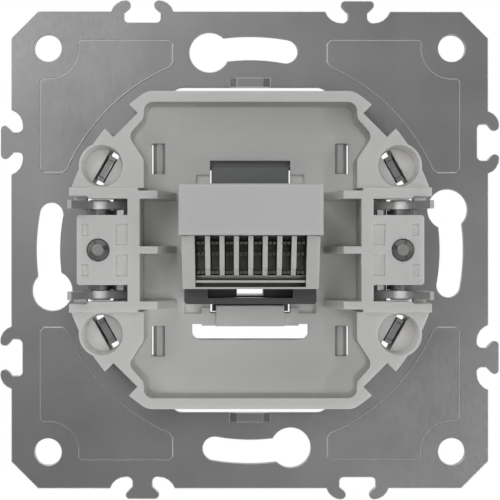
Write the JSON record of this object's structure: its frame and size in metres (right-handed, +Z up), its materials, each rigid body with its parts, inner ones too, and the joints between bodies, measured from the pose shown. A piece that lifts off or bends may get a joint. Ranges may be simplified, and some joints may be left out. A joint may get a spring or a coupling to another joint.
{
  "type": "flush-mounted data socket insert",
  "caption": "Square steel mounting plate with a moulded base, a pair of expanding fixing claws and a modular data jack with insulation-displacement terminals behind.",
  "frame": {"origin": "centre of the mounting plate, on its flat rear face, which lies against the wall", "axes": "+Z up as fitted to the wall, +Y out of the wall into the room, -Y into the wall box, +X to the right seen from the wall box side"},
  "size_m": [0.0742, 0.0304, 0.0742],
  "materials": {
    "plate_steel": "satin, zinc plated",
    "base_plastic": "fine matt, moulded",
    "holder_plastic": "fine matt, moulded",
    "jack_plastic": "satin, moulded",
    "carrier_plastic": "satin, moulded",
    "contact_alloy": "gold-plated wire",
    "board_laminate": "lacquered glass-fibre laminate",
    "terminal_plastic": "fine matt, moulded",
    "terminal_alloy": "tinned bronze sheet",
    "cap_plastic": "fine matt, moulded",
    "claw_steel": "zinc plated",
    "nut_steel": "zinc plated, turned",
    "screw_steel": "zinc plated"
  },
  "bodies": {
    "base": {"mounting_plate": "plate_steel", "base_housing": "base_plastic", "front_holder": "holder_plastic", "jack_housing": "jack_plastic", "contact_carrier": "carrier_plastic", "contact_wire_1": "contact_alloy", "contact_wire_2": "contact_alloy", "contact_wire_3": "contact_alloy", "contact_wire_4": "contact_alloy", "contact_wire_5": "contact_alloy", "contact_wire_6": "contact_alloy", "contact_wire_7": "contact_alloy", "contact_wire_8": "contact_alloy", "circuit_board": "board_laminate", "terminal_block": "terminal_plastic", "idc_contact_1": "terminal_alloy", "idc_contact_2": "terminal_alloy", "idc_contact_3": "terminal_alloy", "idc_contact_4": "terminal_alloy", "idc_contact_5": "terminal_alloy", "idc_contact_6": "terminal_alloy", "idc_contact_7": "terminal_alloy", "idc_contact_8": "terminal_alloy", "rear_cap": "cap_plastic"},
    "screw_left": {"claw_screw_left": "screw_steel"},
    "nut_left": {"claw_nut_left": "nut_steel"},
    "claw_left": {"claw_left": "claw_steel"},
    "screw_right": {"claw_screw_right": "screw_steel"},
    "nut_right": {"claw_nut_right": "nut_steel"},
    "claw_right": {"claw_right": "claw_steel"}
  },
  "joints": [
    {"name": "claw_screw_turn_left", "type": "hinge", "parent": "base", "child": "screw_left", "pos_m": [-0.0216, 0, 0], "axis": [0, -1, 0], "range_deg": [0, 1088.9]},
    {"name": "claw_nut_slide_left", "type": "slide", "parent": "base", "child": "nut_left", "axis": [0, 1, 0], "range_m": [0, 0.00151]},
    {"name": "claw_swing_left", "type": "hinge", "parent": "nut_left", "child": "claw_left", "pos_m": [-0.0216, -0.009, 0], "axis": [0, 0, -1], "range_deg": [0, 38.02]},
    {"name": "claw_screw_turn_right", "type": "hinge", "parent": "base", "child": "screw_right", "pos_m": [0.0216, 0, 0], "axis": [0, -1, 0], "range_deg": [0, 1088.9]},
    {"name": "claw_nut_slide_right", "type": "slide", "parent": "base", "child": "nut_right", "axis": [0, 1, 0], "range_m": [0, 0.00151]},
    {"name": "claw_swing_right", "type": "hinge", "parent": "nut_right", "child": "claw_right", "pos_m": [0.0216, -0.009, 0], "axis": [0, 0, 1], "range_deg": [0, 38.02]}
  ],
  "couplings": [
    {"joint": "claw_screw_turn_left", "follows": "claw_nut_slide_left", "rad_per_m": 12566},
    {"joint": "claw_swing_left", "follows": "claw_nut_slide_left", "rad_per_m": 438.93},
    {"joint": "claw_screw_turn_right", "follows": "claw_nut_slide_right", "rad_per_m": 12566},
    {"joint": "claw_swing_right", "follows": "claw_nut_slide_right", "rad_per_m": 438.93}
  ]
}
